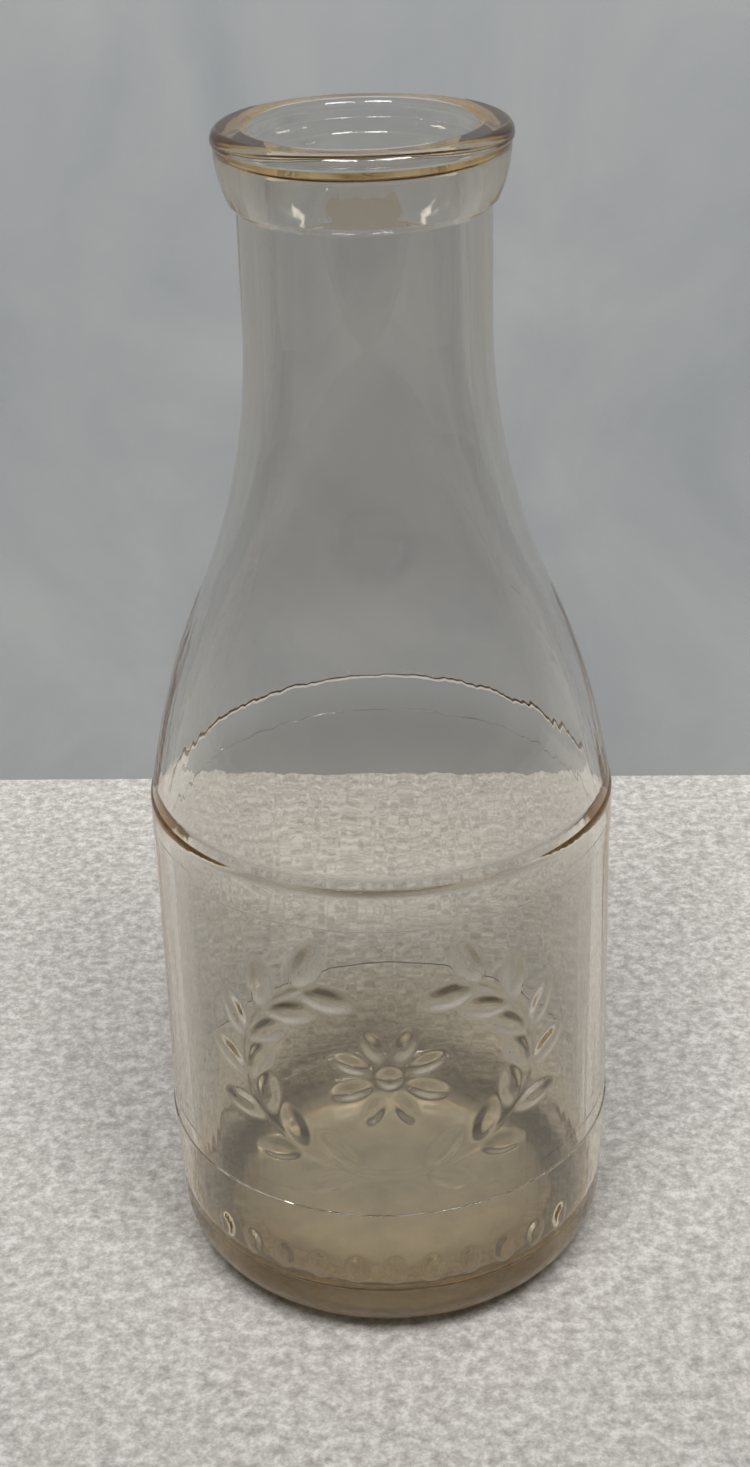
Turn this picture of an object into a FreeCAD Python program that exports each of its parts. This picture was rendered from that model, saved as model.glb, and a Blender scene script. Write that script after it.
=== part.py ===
import FreeCAD, Part
import math
import os

# Driving dimensions of a round one-quart glass milk bottle, in millimetres.
# Heights are measured from the surface that it stands on, depths from the top of the lip.

overall_height = 247.65

# Mouth and neck, worked out from the seat of a standard paper disc cap
cap_seat_diameter = 41.8
cap_seat_depth = 3.6
seat_width = 3.4
seat_drop = 2.2
seat_edge_rounding = 1.5
lip_wall = 7.0
lip_outer_rounding = 2.0
lip_inner_rounding = 1.8
lip_seam_depth = 2.9
lip_overhang = 0.4
bead_depth = 14.8
bead_foot_width = 1.35
bead_foot_drop = 1.3
neck_wall = 6.35
neck_length = 21.8

# Shoulder, an S-curve of two tangent arcs
shoulder_foot_slope = math.radians(8.4)
swell_to_hollow = 1.16

# Body: a ledge and two smooth bands around a slightly sunken panel
shoulder_band_diameter = 96.6
heel_band_diameter = 97.4
ledge_height = 113.2
ledge_width = 0.55
ledge_drop = 1.9
shoulder_band_bottom = 104.1
heel_band_top = 34.9
panel_recess = 0.25
heel_lean = math.radians(2.8)
heel_rounding = 11.3
bearing_width = 2.5
push_up = 5.2

# Hollow
body_wall = 3.6
base_thickness = 4.0
floor_bowl_radius = 150.0
hollow_heel_rounding = 6.0
hollow_neck_rise = 6.0
hollow_shoulder_drop = 20.0

# A rounding takes at most this share of the wall that it is on
rounding_share = 0.45


def at(radius, height):
    return FreeCAD.Vector(radius, 0, height)


class Outline:
    # Half of a section through the axis, drawn from point to point

    def __init__(self, start):
        self.pen = start
        self.edges = []

    def line_to(self, end):
        self.edges.append(Part.LineSegment(self.pen, end).toShape())
        self.pen = end

    def arc_to(self, end, centre):
        # The short way round the centre
        spoke = self.pen - centre
        middle = centre + (spoke + end - centre).normalize() * spoke.Length
        self.edges.append(Part.Arc(self.pen, middle, end).toShape())
        self.pen = end

    def bulge_to(self, end, wall_point):
        # An arc that is upright at wall_point, which is one of its two ends
        free_point = self.pen if end == wall_point else end
        inset = wall_point.x - free_point.x
        rise = free_point.z - wall_point.z
        radius = (inset**2 + rise**2) / (2 * inset)
        self.arc_to(end, at(wall_point.x - radius, wall_point.z))

    def dome_to(self, rim, crown):
        # From the crown on the axis, where the arc is level
        rise = crown.z - rim.z
        radius = (rim.x**2 + rise**2) / (2 * rise)
        self.arc_to(rim, at(0, crown.z - radius))


def ogee(foot, foot_slope, top):
    # Joint and centres of two tangent arcs: a swelling one that leaves the foot at foot_slope from
    # the upright, and a hollow one that ends upright at the top. Their radii keep swell_to_hollow.
    normal = at(math.cos(foot_slope), math.sin(foot_slope))
    span = top - foot
    lean = span.dot(at(1, 0) + normal * swell_to_hollow)
    turn = 2 * swell_to_hollow * (1 - math.cos(foot_slope))
    hollow_arc = span.dot(span) / (math.sqrt(lean**2 + turn * span.dot(span)) - lean)
    swell_centre = foot - normal * hollow_arc * swell_to_hollow
    hollow_centre = top + at(hollow_arc, 0)
    joint = (swell_centre + hollow_centre * swell_to_hollow) / (1 + swell_to_hollow)
    return swell_centre, joint, hollow_centre


def revolved(edges):
    section = Part.Face(Part.Wire(edges))
    return section.revolve(FreeCAD.Vector(0, 0, 0), FreeCAD.Vector(0, 0, 1), 360)


# Radii, from the cap seat out to the lip and the neck, and from the bands in to the hollow
cap_seat_radius = cap_seat_diameter / 2
bore_radius = cap_seat_radius - seat_width
neck_radius = bore_radius + neck_wall
lip_radius = cap_seat_radius + lip_wall
shoulder_band_radius = shoulder_band_diameter / 2
heel_band_radius = heel_band_diameter / 2
panel_top_radius = shoulder_band_radius - panel_recess
panel_foot_radius = heel_band_radius - panel_recess
hollow_radius = panel_top_radius - body_wall

# The heel band leans in, and the heel is rounded from it down to the bearing ring
lean_normal = at(math.cos(heel_lean), -math.sin(heel_lean))
lean_length = (heel_band_top - heel_rounding * (1 - math.sin(heel_lean))) / math.cos(heel_lean)
lean_run = at(math.sin(heel_lean), math.cos(heel_lean)) * lean_length
heel_top = at(heel_band_radius, heel_band_top) - lean_run
heel_arc_centre = heel_top - lean_normal * heel_rounding
bearing_outer_radius = heel_arc_centre.x
bearing_inner_radius = bearing_outer_radius - bearing_width

# Heights of the mouth and neck
seam_height = overall_height - lip_seam_depth
seat_height = overall_height - cap_seat_depth
bead_bottom = overall_height - bead_depth
neck_foot = bead_bottom - neck_length

# Outside, from the middle of the base up to the cap seat
push_up_crown = at(0, push_up)
outside = Outline(push_up_crown)
outside.dome_to(at(bearing_inner_radius, 0), push_up_crown)
outside.line_to(at(bearing_outer_radius, 0))
outside.arc_to(heel_top, heel_arc_centre)
outside.line_to(at(heel_band_radius, heel_band_top))
outside.line_to(at(panel_foot_radius, heel_band_top + panel_recess))
outside.line_to(at(panel_top_radius, shoulder_band_bottom - panel_recess))
outside.line_to(at(shoulder_band_radius, shoulder_band_bottom))

ledge_edge = at(shoulder_band_radius, ledge_height - ledge_drop)
shoulder_foot = at(shoulder_band_radius - ledge_width, ledge_height)
outside.line_to(ledge_edge)
outside.bulge_to(shoulder_foot, ledge_edge)

neck_start = at(neck_radius, neck_foot)
swell_centre, joint, hollow_centre = ogee(shoulder_foot, shoulder_foot_slope, neck_start)
outside.arc_to(joint, swell_centre)
outside.arc_to(neck_start, hollow_centre)
outside.line_to(at(neck_radius, bead_bottom))
outside.line_to(at(neck_radius + bead_foot_width, bead_bottom + bead_foot_drop))

# The bead swells out up to the seam, where the lip hangs over it a little
bead_edge = at(lip_radius - lip_overhang, seam_height)
most_lip_rounding = rounding_share * lip_wall
outer_rounding = min(lip_outer_rounding, most_lip_rounding)
inner_rounding = min(lip_inner_rounding, most_lip_rounding)
outer_centre = at(lip_radius - outer_rounding, overall_height - outer_rounding)
inner_centre = at(cap_seat_radius + inner_rounding, overall_height - inner_rounding)
outside.bulge_to(bead_edge, bead_edge)
outside.line_to(bead_edge + at(lip_overhang, lip_overhang))
outside.line_to(at(lip_radius, outer_centre.z))
outside.arc_to(at(outer_centre.x, overall_height), outer_centre)
outside.line_to(at(inner_centre.x, overall_height))
outside.arc_to(at(cap_seat_radius, inner_centre.z), inner_centre)
outside.line_to(at(cap_seat_radius, seat_height))

# Inside, from the cap seat down to the middle of the floor
seat_slope = math.atan2(seat_drop, seat_width)
seat_edge = at(bore_radius, seat_height - seat_drop)
edge_rounding = min(seat_edge_rounding, rounding_share * seat_width)
edge_reach = edge_rounding * math.tan((math.pi / 2 - seat_slope) / 2)
bore_top = seat_edge.z - edge_reach
inside = Outline(outside.pen)
inside.line_to(seat_edge + at(math.cos(seat_slope), math.sin(seat_slope)) * edge_reach)
inside.arc_to(at(bore_radius, bore_top), at(bore_radius + edge_rounding, bore_top))

hollow_foot = at(hollow_radius, ledge_height - hollow_shoulder_drop)
hollow_top = at(bore_radius, neck_foot + hollow_neck_rise)
swell_centre, joint, hollow_centre = ogee(hollow_foot, 0, hollow_top)
inside.line_to(hollow_top)
inside.arc_to(joint, hollow_centre)
inside.arc_to(hollow_foot, swell_centre)

# The floor is a shallow bowl, and the hollow's heel is an arc that is tangent to it and to the wall
floor_middle = at(0, push_up + base_thickness)
bowl_centre = floor_middle + at(0, floor_bowl_radius)
bowl_reach = floor_bowl_radius - hollow_heel_rounding
heel_axis_radius = hollow_radius - hollow_heel_rounding
heel_axis_height = bowl_centre.z - math.sqrt(bowl_reach**2 - heel_axis_radius**2)
heel_centre = at(heel_axis_radius, heel_axis_height)
floor_edge = bowl_centre + (heel_centre - bowl_centre) * (floor_bowl_radius / bowl_reach)
inside.line_to(at(hollow_radius, heel_axis_height))
inside.arc_to(floor_edge, heel_centre)
inside.arc_to(floor_middle, bowl_centre)

# The glass is one solid of revolution
axis_edge = Part.LineSegment(floor_middle, push_up_crown).toShape()
glass_bottle = revolved(outside.edges + inside.edges + [axis_edge])

# What it holds up to the cap seat, and the length of its straight round walls
milk = Outline(floor_middle)
milk.line_to(at(0, seat_height))
milk.line_to(outside.pen)
contents = revolved(inside.edges + milk.edges)
cubic_millimetres_per_millilitre = 1000
print("capacity to the cap seat, ml:", round(contents.Volume / cubic_millimetres_per_millilitre, 1))
print("glass, ml:", round(glass_bottle.Volume / cubic_millimetres_per_millilitre, 1))
print("cap seat radius", cap_seat_radius, "from", seat_height, "to", inner_centre.z)
print("bore radius", bore_radius, "from", hollow_top.z, "to", bore_top)
print("bearing ring from radius", bearing_inner_radius, "to", bearing_outer_radius)
print("floor from height", floor_middle.z, "to", floor_edge.z, "and wall from", heel_axis_height)

os.makedirs("parts", exist_ok=True)
glass_bottle.exportStep("parts/glass_bottle.step")
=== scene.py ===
import bpy
import bmesh
import cmath
import math
import numpy as np
from mathutils import Matrix, Vector, noise


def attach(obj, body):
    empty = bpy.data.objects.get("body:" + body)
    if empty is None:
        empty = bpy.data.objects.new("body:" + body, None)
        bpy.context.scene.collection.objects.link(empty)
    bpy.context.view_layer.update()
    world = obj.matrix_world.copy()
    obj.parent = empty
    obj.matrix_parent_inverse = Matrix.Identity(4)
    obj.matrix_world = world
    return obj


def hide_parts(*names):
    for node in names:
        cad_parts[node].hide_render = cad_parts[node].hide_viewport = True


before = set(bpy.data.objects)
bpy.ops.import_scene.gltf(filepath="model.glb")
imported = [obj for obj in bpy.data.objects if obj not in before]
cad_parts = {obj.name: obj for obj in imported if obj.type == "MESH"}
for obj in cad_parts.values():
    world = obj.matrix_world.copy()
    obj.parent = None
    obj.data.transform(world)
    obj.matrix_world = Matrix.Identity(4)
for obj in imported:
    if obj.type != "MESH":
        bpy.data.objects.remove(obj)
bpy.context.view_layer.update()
scene = bpy.context.scene
mm = 0.001

print("stage: frame loaded")


def hexColour(code):   # sRGB hex to linear, with alpha
    parts = [int(code[i:i + 2], 16) / 255 for i in (1, 3, 5)]
    return [c / 12.92 if c <= 0.04045 else ((c + 0.055) / 1.055) ** 2.4 for c in parts] + [1.0]


def addNode(tree, kind, inputs={}, stops=(), **settings):
    made = tree.nodes.new(kind)
    for name, value in settings.items():
        setattr(made, name, value)
    for name, value in inputs.items():   # a plain value, or the socket that feeds it
        if isinstance(value, bpy.types.NodeSocket):
            tree.links.new(value, made.inputs[name])
        else:
            made.inputs[name].default_value = value
    if stops:   # places and colours along a ramp
        elements = made.color_ramp.elements
        while len(elements) < len(stops):
            elements.new(0.5)
        for element, (place, colour) in zip(elements, stops):
            element.position = place
            element.color = hexColour(colour)
    return made


def newMaterial(name):   # with its node tree, and the place on the piece in millimetres
    made = bpy.data.materials.new(name)
    made.use_nodes = True
    tree = made.node_tree
    tree.nodes.clear()
    metres = addNode(tree, "ShaderNodeTexCoord").outputs["Object"]
    place = addNode(tree, "ShaderNodeVectorMath", {0: metres, "Scale": 1 / mm}, operation="SCALE")
    return made, tree, place.outputs["Vector"]


# The section, in millimetres. A point is a complex number: distance from the axis, and height.
bottle = {
    "height": 247.65,
    "capSeat": 20.9, "capSeatDepth": 3.6, "seatWidth": 3.4, "seatDrop": 2.2,
    "lipWall": 7.0, "lipSeamDepth": 2.9, "lipOverhang": 0.4,
    "beadDepth": 14.8, "beadFootWidth": 1.35, "beadFootDrop": 1.3,
    "neckWall": 6.35, "neckLength": 21.8,
    "footSlope": math.radians(8.4), "swellToHollow": 1.16,
    "shoulderBand": 48.3, "heelBand": 48.7, "shoulderBandBottom": 104.1, "heelBandTop": 34.9,
    "ledgeHeight": 113.2, "ledgeWidth": 0.55, "ledgeDrop": 1.9, "panelRecess": 0.25,
    "heelLean": math.radians(2.8), "bearingWidth": 2.5, "pushUp": 5.2,
    "bodyWall": 3.6, "baseThickness": 4.0, "floorBowl": 600.0,
    "hollowNeckRise": 6.0, "hollowFootRise": 1.0,
    "rounding": {
        "lipOuter": 2.0, "lipInner": 1.8, "lipFoot": 0.3, "seam": 0.15,
        "seatCorner": 0.5, "seatEdge": 1.5, "underBead": 0.8, "beadFoot": 0.7,
        "ledge": 0.3, "band": 0.3, "heel": 11.3, "ring": 1.5, "hollowFoot": 8.0, "hollowHeel": 5.0,
    },
    "columns": 144, "row": 2.25, "arcStep": math.radians(9), "hold": 0.12,
    "cornerFineness": 1.5, "beadFineness": 2.0,
}


def bow(start, stop, centre, fineness=1.0):   # points of the short arc, without its two ends
    turn = cmath.phase((stop - centre) / (start - centre))
    stepsPerTurn = max(fineness / bottle["arcStep"], abs(start - centre) / bottle["row"])
    steps = max(2, math.ceil(abs(turn) * stepsPerTurn))
    return [centre + (start - centre) * cmath.exp(1j * turn * i / steps) for i in range(1, steps)]


def uprightCentre(wall, free):   # centre of the arc that is upright at the wall point
    inset, rise = wall.real - free.real, free.imag - wall.imag
    return wall - (inset ** 2 + rise ** 2) / (2 * inset)


def ogee(foot, slope, top):   # two tangent arcs: swelling from the foot, hollow up to an upright end
    share = bottle["swellToHollow"]
    normal, span = cmath.exp(1j * slope), top - foot
    lean = span.real + share * (span * normal.conjugate()).real
    turn = 2 * share * (1 - math.cos(slope)) * abs(span) ** 2
    hollow = abs(span) ** 2 / (math.sqrt(lean ** 2 + turn) - lean)
    swellCentre, hollowCentre = foot - normal * hollow * share, top + hollow
    joint = (swellCentre + share * hollowCentre) / (1 + share)
    return bow(foot, joint, swellCentre) + [joint] + bow(joint, top, hollowCentre)


def plain(points):   # corners without rounding
    return [(point, 0) for point in points]


def softened(corners):   # each corner is (point, rounding), and straights keep their slope up to the arc
    hold = bottle["hold"]
    points = []
    for i, (point, rounding) in enumerate(corners):
        if not rounding:
            points.append(point)
            continue
        before = corners[i - 1][0] - point
        after = corners[i + 1][0] - point
        before, after = before / abs(before), after / abs(after)
        half = abs(cmath.phase(after / before)) / 2
        reach = rounding / math.tan(half)
        middle = (before + after) / abs(before + after)
        centre = point + middle * rounding / math.sin(half)
        start, stop = point + before * reach, point + after * reach
        points += [start + before * hold, start]
        points += bow(start, stop, centre, bottle["cornerFineness"])
        points += [stop, stop + after * hold]
    return points


def section():
    b, soft = bottle, bottle["rounding"]
    seat = b["capSeat"]
    bore = seat - b["seatWidth"]
    neck = bore + b["neckWall"]
    lip = seat + b["lipWall"]
    recess = b["panelRecess"]
    wall = b["shoulderBand"] - recess - b["bodyWall"]
    bead = b["height"] - b["beadDepth"]
    seatHeight = b["height"] - b["capSeatDepth"]
    neckFoot = bead - b["neckLength"]

    # heel: a band that leans in, and a round that ends level on the bearing ring
    lean, heel = b["heelLean"], soft["heel"]
    run = (b["heelBandTop"] - heel * (1 - math.sin(lean))) / math.cos(lean)
    bandTop = complex(b["heelBand"], b["heelBandTop"])
    heelTop = bandTop - run * complex(math.sin(lean), math.cos(lean))
    heelCentre = heelTop - heel * complex(math.cos(lean), -math.sin(lean))
    ring = complex(heelCentre.real, 0)
    innerRing = ring - b["bearingWidth"]
    domeRadius = (innerRing.real ** 2 + b["pushUp"] ** 2) / (2 * b["pushUp"])
    dome = complex(0, b["pushUp"] - domeRadius)

    # outside, from the middle of the base up to the lip
    crown = complex(0, b["pushUp"])
    bandBottom = complex(b["shoulderBand"], b["shoulderBandBottom"])
    panelFoot = bandTop + complex(-recess, recess)
    panelTop = bandBottom - complex(recess, recess)
    ledge = complex(b["shoulderBand"], b["ledgeHeight"] - b["ledgeDrop"])
    foot = complex(b["shoulderBand"] - b["ledgeWidth"], b["ledgeHeight"])
    neckStart = complex(neck, neckFoot)
    beadFoot = complex(neck + b["beadFootWidth"], bead + b["beadFootDrop"])
    beadEdge = complex(lip - b["lipOverhang"], b["height"] - b["lipSeamDepth"])
    lipFoot = beadEdge + b["lipOverhang"] * (1 + 1j)
    beadCentre = uprightCentre(beadEdge, beadFoot)
    outside = plain([crown] + bow(crown, innerRing, dome)) + [(innerRing, soft["ring"])]
    outside += plain([ring] + bow(ring, heelTop, heelCentre) + [heelTop])
    outside += [(corner, soft["band"]) for corner in (bandTop, panelFoot, panelTop, bandBottom)]
    outside += plain([ledge] + bow(ledge, foot, uprightCentre(ledge, foot)))
    outside += [(foot, soft["ledge"])]
    outside += plain(ogee(foot, b["footSlope"], neckStart) + [neckStart])
    outside += [(complex(neck, bead), soft["underBead"]), (beadFoot, soft["beadFoot"])]
    outside += plain(bow(beadFoot, beadEdge, beadCentre, b["beadFineness"]))
    outside += [(beadEdge, soft["seam"]), (lipFoot, soft["lipFoot"])]
    outside += [(complex(lip, b["height"]), soft["lipOuter"])]
    outside += [(complex(seat, b["height"]), soft["lipInner"])]

    # inside, from the cap seat down: the floor is a shallow bowl, and an arc joins it to the wall
    floor = complex(0, b["pushUp"] + b["baseThickness"])
    bowl = floor + 1j * b["floorBowl"]
    inset = wall - soft["hollowHeel"]
    bowlReach = b["floorBowl"] - soft["hollowHeel"]
    hollowHeel = bowl + complex(inset, -math.sqrt(bowlReach ** 2 - inset ** 2))
    floorEdge = bowl + (hollowHeel - bowl) * b["floorBowl"] / bowlReach
    hollowTop = complex(bore, neckFoot + b["hollowNeckRise"])
    hollowFoot = complex(wall, b["ledgeHeight"] + b["hollowFootRise"])
    wallFoot = complex(wall, hollowHeel.imag)
    inside = [(complex(seat, seatHeight), soft["seatCorner"])]
    inside += [(complex(bore, seatHeight - b["seatDrop"]), soft["seatEdge"])]
    inside += plain([hollowTop] + ogee(hollowFoot, b["footSlope"], hollowTop)[::-1])
    inside += [(hollowFoot, soft["hollowFoot"])]
    inside += plain([wallFoot] + bow(wallFoot, floorEdge, hollowHeel))
    inside += plain([floorEdge] + bow(floorEdge, floor, bowl) + [floor])
    return softened(outside + inside)


def divided(points):   # long straights get rows
    rows = [points[0]]
    for start, stop in zip(points, points[1:]):
        steps = max(1, round(abs(stop - start) / bottle["row"]))
        rows += [start + (stop - start) * i / steps for i in range(1, steps + 1)]
    return rows


# Raised ornament, pressed into the mould: an open wreath of leaves with a rosette on the panel,
# and a row of drops on the heel. Faces are cut finer within these degrees from the front.
ornament = {
    "relief": 0.6, "softEdge": 2.3, "middle": 69.5,
    "wreath": (31.0, 24.0), "openTop": 28, "nodes": 7, "firstNode": 0.6,
    "leaf": (6.4, 3.1), "leafReach": 0.95, "splay": 40, "stem": 1.3, "stemRelief": 0.7,
    "petals": 8, "petal": (5.0, 2.5), "petalReach": 8.4, "boss": (3.0, 3.0),
    "drops": 11, "drop": (2.2, 3.6), "dropPitch": 8.2, "dropHeight": 20.0,
    "dropRelief": 0.5, "dropEdge": 1.2,
    "panelMargin": 1.0, "panelReach": 62, "panelCuts": 4,
    "dropMargin": 6.0, "dropReach": 58, "dropCuts": 2,
    "lowest": 10.0, "skin": 2.5,
}


def eased(t):
    t = np.clip(t, 0, 1)
    return t * t * (3 - 2 * t)


def leafRelief(u, v, at, along, size, softEdge):   # 0 outside, 1 on top
    du, dv = u - at[0], v - at[1]
    x = du * math.cos(along) + dv * math.sin(along)
    y = -du * math.sin(along) + dv * math.cos(along)
    inside = (1 - np.sqrt((x / size[0]) ** 2 + (y / size[1]) ** 2)) * size[1]
    return eased(inside / softEdge)


def panelRelief(u, v):   # u along the wall from the front, v up from the ornament's middle
    o = ornament
    a, b = o["wreath"]
    reach = math.radians(180 - o["openTop"])
    leaves = [((0, 0), 0, o["boss"])]
    for i in range(o["petals"]):
        along = 2 * math.pi * (i + 0.5) / o["petals"]
        tip = o["petalReach"] * cmath.exp(1j * along)
        leaves.append(((tip.real, tip.imag), along, o["petal"]))
    for side in (-1, 1):
        for i in range(o["nodes"]):
            angle = reach * (i + o["firstNode"]) / o["nodes"]
            node = complex(side * a * math.sin(angle), -b * math.cos(angle))
            rise = math.atan2(b * math.sin(angle), side * a * math.cos(angle))
            for turn in (-1, 1):
                along = rise + turn * math.radians(o["splay"])
                at = node + o["leafReach"] * o["leaf"][0] * cmath.exp(1j * along)
                leaves.append(((at.real, at.imag), along, o["leaf"]))

    # the stem follows the ellipse, and the leaves lie over it
    ellipse = np.hypot(u / a, v / b)
    slope = np.maximum(np.hypot(u / a ** 2, v / b ** 2), 1e-6)
    away = np.abs(ellipse - 1) * ellipse / slope
    onStem = np.abs(np.arctan2(u / a, -v / b)) < reach
    top = o["stemRelief"] * eased((o["stem"] - away) / o["softEdge"]) * onStem
    for at, along, size in leaves:
        top = np.maximum(top, leafRelief(u, v, at, along, size, o["softEdge"]))
    return top * o["relief"]


def heelRelief(u, height):
    o = ornament
    top = np.zeros_like(u)
    for i in range(o["drops"]):
        at = ((i - (o["drops"] - 1) / 2) * o["dropPitch"], o["dropHeight"])
        top = np.maximum(top, leafRelief(u, height, at, 0, o["drop"], o["dropEdge"]))
    return top * o["dropRelief"]


# Upright waves that the blown inner wall keeps, fading out at the floor and in the neck
flow = {"depth": 0.07, "pitch": 7.0, "length": 70.0, "neck": 20.0, "fade": 12.0, "floor": 9.0}


def makeBottle():
    b, o = bottle, ornament
    bm = bmesh.new()
    chain = [bm.verts.new((p.real, 0, p.imag)) for p in divided(section())]
    wire = [bm.edges.new(pair) for pair in zip(chain, chain[1:])]
    quarter = Matrix.Rotation(math.pi / 2, 3, "Z")   # the seam of the spin goes to the back
    bmesh.ops.rotate(bm, verts=chain, cent=(0, 0, 0), matrix=quarter)
    bmesh.ops.spin(bm, geom=chain + wire, cent=(0, 0, 0), axis=(0, 0, 1), angle=2 * math.pi,
                   steps=b["columns"], use_merge=True)
    bmesh.ops.remove_doubles(bm, verts=bm.verts[:], dist=1e-4)
    bmesh.ops.recalc_face_normals(bm, faces=bm.faces[:])

    def isOuter(v):
        return math.hypot(v.co.x, v.co.y) > b["shoulderBand"] - o["skin"]

    def azimuth(v):
        return math.atan2(v.co.x, -v.co.y)

    # finer faces under the ornament
    panelLow = b["heelBandTop"] + o["panelMargin"]
    panelHigh = b["shoulderBandBottom"] - o["panelMargin"]
    dropLow, dropHigh = o["dropHeight"] - o["dropMargin"], o["dropHeight"] + o["dropMargin"]
    for low, high, reach, cuts in ((panelLow, panelHigh, o["panelReach"], o["panelCuts"]),
                                   (dropLow, dropHigh, o["dropReach"], o["dropCuts"])):
        picked = {v for v in bm.verts if isOuter(v) and low < v.co.z < high
                  and abs(azimuth(v)) < math.radians(reach)}
        edges = [e for e in bm.edges if e.verts[0] in picked and e.verts[1] in picked]
        bmesh.ops.subdivide_edges(bm, edges=edges, cuts=cuts, use_grid_fill=True)
    bm.normal_update()

    outer = [v for v in bm.verts if isOuter(v) and o["lowest"] < v.co.z < b["shoulderBandBottom"]]
    angle = np.array([azimuth(v) for v in outer])
    height = np.array([v.co.z for v in outer])
    u = angle * b["shoulderBand"]
    raised = panelRelief(u, height - o["middle"]) + heelRelief(u, height)
    for v, a, z, lift in zip(outer, angle, height, raised):
        radius = math.hypot(v.co.x, v.co.y)
        if panelLow < z < panelHigh:   # new points go from the chord back onto the panel's cone
            share = (z - b["heelBandTop"]) / (b["shoulderBandBottom"] - b["heelBandTop"])
            band = b["heelBand"] + (b["shoulderBand"] - b["heelBand"]) * share
            radius = band - b["panelRecess"]
        v.co.x, v.co.y = (radius + lift) * math.sin(a), -(radius + lift) * math.cos(a)

    for v in bm.verts:
        radius = math.hypot(v.co.x, v.co.y)
        inward = v.normal.x * v.co.x + v.normal.y * v.co.y < 0
        if inward and radius > flow["neck"] and v.co.z > flow["floor"]:
            fade = min(1, (radius - flow["neck"]) / flow["fade"])
            x, y, z = v.co.x / flow["pitch"], v.co.y / flow["pitch"], v.co.z / flow["length"]
            grow = 1 + flow["depth"] * fade * noise.noise(Vector((x, y, z))) / radius
            v.co.x, v.co.y = v.co.x * grow, v.co.y * grow

    bmesh.ops.scale(bm, vec=(mm, mm, mm), verts=bm.verts[:])
    bm.normal_update()
    mesh = bpy.data.meshes.new("bottleGlass")
    bm.to_mesh(mesh)
    print("bottle: open edges", sum(not e.is_manifold for e in bm.edges),
          "triangles", sum(len(f.verts) - 2 for f in bm.faces))
    bm.free()
    mesh.shade_smooth()
    piece = bpy.data.objects.new("bottleGlass", mesh)
    scene.collection.objects.link(piece)
    return piece


# Soda-lime glass that the sun has turned faintly straw: clear through a wall, golden along the heel
# and lip. Old milk has left a thin tan film on the floor and a grey bloom that is strongest on the
# panel, and the mould has left the underside matt.
# A share is full where all its fades are: each goes along a measure, from its first place, where
# the share is least, to its second. Places are millimetres, or levels of the wear.
glass = {
    "ior": 1.52, "tint": "#E9D6A0", "density": 20.0,
    "wear": 9.0, "ripple": 5.0, "rippleDrawn": 0.06, "rippleStrength": 0.06,
    "shares": {
        "shoulder": {"full": 1.0, "fades": [("height", 155.0, 125.0, 0.0)]},
        "panel": {"full": 1.0, "fades": [("height", 114.0, 100.0, 0.0)]},
        "heel": {"full": 1.0, "fades": [("height", 44.0, 14.0, 0.0)]},
        "film": {"full": 0.75, "fades": [
            ("wear", 0.2, 0.75, 0.5625), ("height", 6.6, 6.8, 0.0), ("height", 17.0, 16.0, 0.0),
            ("radius", 40.0, 24.0, 0.0)]},
        "haze": {"full": 0.05, "fades": [("wear", 0.55, 0.85, 0.0)]},
        "underside": {"full": 0.12, "fades": [("height", 6.5, 6.3, 0.0), ("radius", 36.0, 33.0, 0.0)]},
    },
    "bloom": "#ECECED",   # then what lies over it, in turn
    "over": {"shoulder": "#FFFFFF", "panel": "#E5E4E1", "heel": "#FFF6E2", "film": "#FFF0D0"},
}


def sodaLimeGlass():
    material, tree, place = newMaterial("sodaLimeGlass")
    flat = addNode(tree, "ShaderNodeVectorMath", {0: place, 1: (1, 1, 0)}, operation="MULTIPLY")
    radius = addNode(tree, "ShaderNodeVectorMath", {0: flat.outputs["Vector"]}, operation="LENGTH")
    axes = addNode(tree, "ShaderNodeSeparateXYZ", {"Vector": place})
    wear = addNode(tree, "ShaderNodeTexNoise", {
        "Vector": place, "Scale": 1 / glass["wear"], "Detail": 6.0})
    measures = {"height": axes.outputs["Z"], "radius": radius.outputs["Value"],
                "wear": wear.outputs["Fac"]}

    shares = {}
    for name, share in glass["shares"].items():
        shares[name] = share["full"]
        for measure, start, stop, least in share["fades"]:
            shares[name] = addNode(tree, "ShaderNodeMapRange", {
                "Value": measures[measure], "From Min": start, "From Max": stop,
                "To Min": least, "To Max": shares[name]},
                interpolation_type="SMOOTHSTEP").outputs["Result"]

    colour = hexColour(glass["bloom"])
    for name, code in glass["over"].items():   # a mix of colours has them on sockets 6 and 7
        colour = addNode(tree, "ShaderNodeMix", {
            "Factor": shares[name], 6: colour, 7: hexColour(code)}, data_type="RGBA").outputs[2]
    matt = addNode(tree, "ShaderNodeMath", {
        0: shares["haze"], 1: shares["underside"]}, operation="ADD")
    clear = addNode(tree, "ShaderNodeMath", {0: 1.0, 1: shares["film"]}, operation="SUBTRACT")

    # a ripple drawn out along the height
    drawn = addNode(tree, "ShaderNodeVectorMath", {
        0: place, 1: (1, 1, glass["rippleDrawn"])}, operation="MULTIPLY")
    ripple = addNode(tree, "ShaderNodeTexNoise", {
        "Vector": drawn.outputs["Vector"], "Scale": 1 / glass["ripple"], "Detail": 2.0})
    bump = addNode(tree, "ShaderNodeBump", {
        "Height": ripple.outputs["Fac"], "Strength": glass["rippleStrength"], "Distance": mm})
    shader = addNode(tree, "ShaderNodeBsdfPrincipled", {
        "Base Color": colour, "Roughness": matt.outputs["Value"], "IOR": glass["ior"],
        "Transmission Weight": clear.outputs["Value"], "Normal": bump.outputs["Normal"]})
    tint = addNode(tree, "ShaderNodeVolumeAbsorption", {
        "Color": hexColour(glass["tint"]), "Density": glass["density"]})
    addNode(tree, "ShaderNodeOutputMaterial", {
        "Surface": shader.outputs["BSDF"], "Volume": tint.outputs["Volume"]})
    return material


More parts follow.
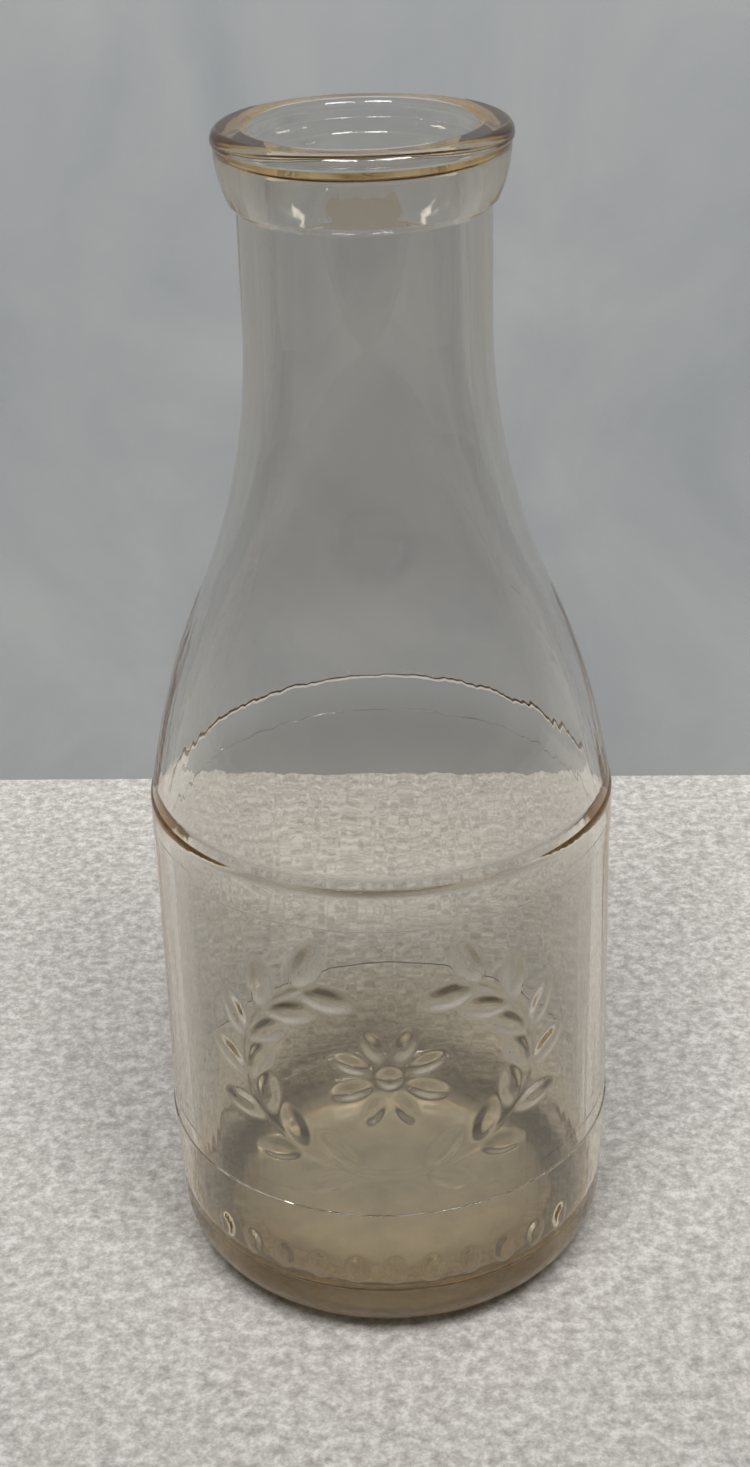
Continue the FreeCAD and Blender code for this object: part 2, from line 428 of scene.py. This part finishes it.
bottleGlass = makeBottle()
bottleGlass.data.materials.append(sodaLimeGlass())
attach(bottleGlass, "root")
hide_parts("glass_bottle")
print("stage: bottle made")

# Stage: a pale speckled table top and a cool grey wall close behind it. Sizes of planes are metres,
# those of patterns and shades millimetres.
table = {
    "size": (2.4, 1.0), "farEdge": 0.3, "drop": 0.0002, "roughness": 0.6,
    "fleck": 3.2, "flecks": [(0.38, "#A9A5A1"), (0.5, "#CBC7C2"), (0.6, "#E9E6E2")],
    # painted light: the top is made lighter towards the wall and darker towards the viewer, over this
    # depth in millimetres
    "depth": (-90.0, 190.0), "paintedDepthShade": (0.70, 1.12),
    # painted contact shadow: a darker ring on the table under the heel's overhang, fading out outwards
    # and inwards over these radii
    "paintedShadowFade": (39.5, 47.5), "paintedShadowLevel": 0.35, "ring": (37.5, 35.5),
}
wall = {
    "size": (2.4, 1.4), "behind": 0.205, "turn": math.radians(-2.68),
    "cloud": 90.0, "clouds": [(0.35, "#9EA2A6"), (0.65, "#ADB0B1")],
}


def paleLaminate():   # cloudy flecks, with painted light and shade: lighter towards the wall, darker towards the viewer, and a painted contact shadow where the heel hangs over them
    material, tree, place = newMaterial("paleLaminate")
    fleck = addNode(tree, "ShaderNodeTexNoise", {
        "Vector": place, "Scale": 1 / table["fleck"], "Detail": 8.0, "Roughness": 0.82})
    colour = addNode(tree, "ShaderNodeValToRGB", {"Fac": fleck.outputs["Fac"]}, table["flecks"])
    axes = addNode(tree, "ShaderNodeSeparateXYZ", {"Vector": place})
    flat = addNode(tree, "ShaderNodeVectorMath", {0: place, 1: (1, 1, 0)}, operation="MULTIPLY")
    away = addNode(tree, "ShaderNodeVectorMath", {0: flat.outputs["Vector"]}, operation="LENGTH")
    # painted light: brighter towards the wall, darker towards the viewer
    paintedDepthLight = addNode(tree, "ShaderNodeMapRange", {
        "Value": axes.outputs["Y"], "From Min": table["depth"][0], "From Max": table["depth"][1],
        "To Min": table["paintedDepthShade"][0], "To Max": table["paintedDepthShade"][1]})
    # painted contact shadow under the heel: darkest between the two fades, clear outside and inside them
    outer = addNode(tree, "ShaderNodeMapRange", {
        "Value": away.outputs["Value"], "From Min": table["paintedShadowFade"][0],
        "From Max": table["paintedShadowFade"][1], "To Min": table["paintedShadowLevel"]},
        interpolation_type="SMOOTHSTEP")
    paintedShadowInnerEdge = addNode(tree, "ShaderNodeMapRange", {
        "Value": away.outputs["Value"], "From Min": table["ring"][0], "From Max": table["ring"][1]})
    clearOfPaintedShadow = addNode(tree, "ShaderNodeMath", {
        0: outer.outputs["Result"], 1: paintedShadowInnerEdge.outputs["Result"]}, operation="MAXIMUM")
    # the painted light and the painted contact shadow together scale the fleck colour
    paintedLightAndShadow = addNode(tree, "ShaderNodeMath", {
        0: paintedDepthLight.outputs["Result"], 1: clearOfPaintedShadow.outputs["Value"]}, operation="MULTIPLY")
    shaded = addNode(tree, "ShaderNodeVectorMath", {
        0: colour.outputs["Color"], "Scale": paintedLightAndShadow.outputs["Value"]}, operation="SCALE")
    shader = addNode(tree, "ShaderNodeBsdfPrincipled", {
        "Base Color": shaded.outputs["Vector"], "Roughness": table["roughness"]})
    addNode(tree, "ShaderNodeOutputMaterial", {"Surface": shader.outputs["BSDF"]})
    return material


def mattGreyWall():   # faint clouds, seen from the front only, so that it hides nothing from behind
    material, tree, place = newMaterial("mattGreyWall")
    cloud = addNode(tree, "ShaderNodeTexNoise", {
        "Vector": place, "Scale": 1 / wall["cloud"], "Detail": 6.0, "Roughness": 0.6,
        "Distortion": 0.6})
    colour = addNode(tree, "ShaderNodeValToRGB", {"Fac": cloud.outputs["Fac"]}, wall["clouds"])
    matt = addNode(tree, "ShaderNodeBsdfDiffuse", {"Color": colour.outputs["Color"]})
    clear = addNode(tree, "ShaderNodeBsdfTransparent")
    side = addNode(tree, "ShaderNodeNewGeometry")
    mix = addNode(tree, "ShaderNodeMixShader", {
        "Fac": side.outputs["Backfacing"], 1: matt.outputs["BSDF"], 2: clear.outputs["BSDF"]})
    addNode(tree, "ShaderNodeOutputMaterial", {"Surface": mix.outputs["Shader"]})
    return material


def makePlane(name, size, place, material):
    bm = bmesh.new()
    bmesh.ops.create_grid(bm, x_segments=1, y_segments=1, size=0.5)
    bmesh.ops.scale(bm, vec=(*size, 1), verts=bm.verts[:])
    bmesh.ops.transform(bm, matrix=place, verts=bm.verts[:])
    mesh = bpy.data.meshes.new(name)
    bm.to_mesh(mesh)
    bm.free()
    mesh.materials.append(material)
    made = bpy.data.objects.new(name, mesh)
    scene.collection.objects.link(made)


tablePlace = Matrix.Translation((0, table["farEdge"] - table["size"][1] / 2, -table["drop"]))
wallPlace = Matrix.Translation((0, wall["behind"], 0)) @ Matrix.Rotation(wall["turn"], 4, "Z")
wallPlace = wallPlace @ Matrix.Translation((0, 0, wall["size"][1] / 2))
wallPlace = wallPlace @ Matrix.Rotation(math.pi / 2, 4, "X")
makePlane("tableTop", table["size"], tablePlace, paleLaminate())
makePlane("backWall", wall["size"], wallPlace, mattGreyWall())
print("stage: table and wall made")

# Light: a dim room with a paler ceiling, two soft lamps high on the left and right, and a row of
# four small ones in front. The room's light rises between two heights of the direction.
lamps = {
    "aim": (0, 0, 0.1),
    "left": {"place": (-0.26, -0.54, 1.18), "size": 0.34, "power": 6.3},
    "right": {"place": (0.34, -0.50, 1.13), "size": 0.34, "power": 6.0},
    "row": {"count": 4, "middle": (0.0, -0.85, 1.4), "pitch": 0.26, "size": 0.08, "power": 1.3},
    "room": "#EAE6DF", "roomLight": (0.2, 0.45), "roomHeights": (0.2, 0.7),
}


def makeLamp(name, place, size, power):
    data = bpy.data.lights.new(name, "AREA")
    data.shape = "SQUARE"
    data.size = size
    data.energy = power
    made = bpy.data.objects.new(name, data)
    made.location = place
    towards = Vector(lamps["aim"]) - Vector(place)
    made.rotation_euler = towards.to_track_quat("-Z", "Y").to_euler()
    scene.collection.objects.link(made)


makeLamp("leftLamp", **lamps["left"])
makeLamp("rightLamp", **lamps["right"])
row = lamps["row"]
for i in range(row["count"]):
    along = (i - (row["count"] - 1) / 2) * row["pitch"]
    place = Vector(row["middle"]) + Vector((along, 0, 0))
    makeLamp("frontLamp%d" % i, place, row["size"], row["power"])

world = bpy.data.worlds.new("room")
world.use_nodes = True
roomTree = world.node_tree
roomTree.nodes.clear()
direction = addNode(roomTree, "ShaderNodeTexCoord")
upward = addNode(roomTree, "ShaderNodeSeparateXYZ", {"Vector": direction.outputs["Generated"]})
level = addNode(roomTree, "ShaderNodeMapRange", {
    "Value": upward.outputs["Z"], "From Min": lamps["roomHeights"][0],
    "From Max": lamps["roomHeights"][1], "To Min": lamps["roomLight"][0],
    "To Max": lamps["roomLight"][1]})
room = addNode(roomTree, "ShaderNodeBackground", {
    "Color": hexColour(lamps["room"]), "Strength": level.outputs["Result"]})
addNode(roomTree, "ShaderNodeOutputWorld", {"Surface": room.outputs["Background"]})
scene.world = world
print("stage: lamps and room made")

# Camera: where the photograph was taken from, with its focal length in heights of the picture
view = {
    "place": (0, -0.40616, 0.33321), "pitch": math.radians(27.454), "yaw": math.radians(0.132),
    "roll": math.radians(-1.727), "focal": 2200 / 1467, "sensor": 36, "nearest": 0.01,
}
cameraData = bpy.data.cameras.new("camera")
cameraData.sensor_width = view["sensor"]
cameraData.lens = view["focal"] * view["sensor"]
cameraData.clip_start = view["nearest"]
camera = bpy.data.objects.new("camera", cameraData)
turn = Matrix.Rotation(view["yaw"], 4, "Z")
turn = turn @ Matrix.Rotation(math.pi / 2 - view["pitch"], 4, "X")
turn = turn @ Matrix.Rotation(view["roll"], 4, "Z")
camera.matrix_world = Matrix.Translation(view["place"]) @ turn
scene.collection.objects.link(camera)
scene.camera = camera

scene.view_settings.view_transform = "Standard"
bounces = 64   # light runs a long way inside the glass wall
scene.cycles.max_bounces = bounces
scene.cycles.transmission_bounces = bounces
scene.cycles.glossy_bounces = bounces

print("stage: done")
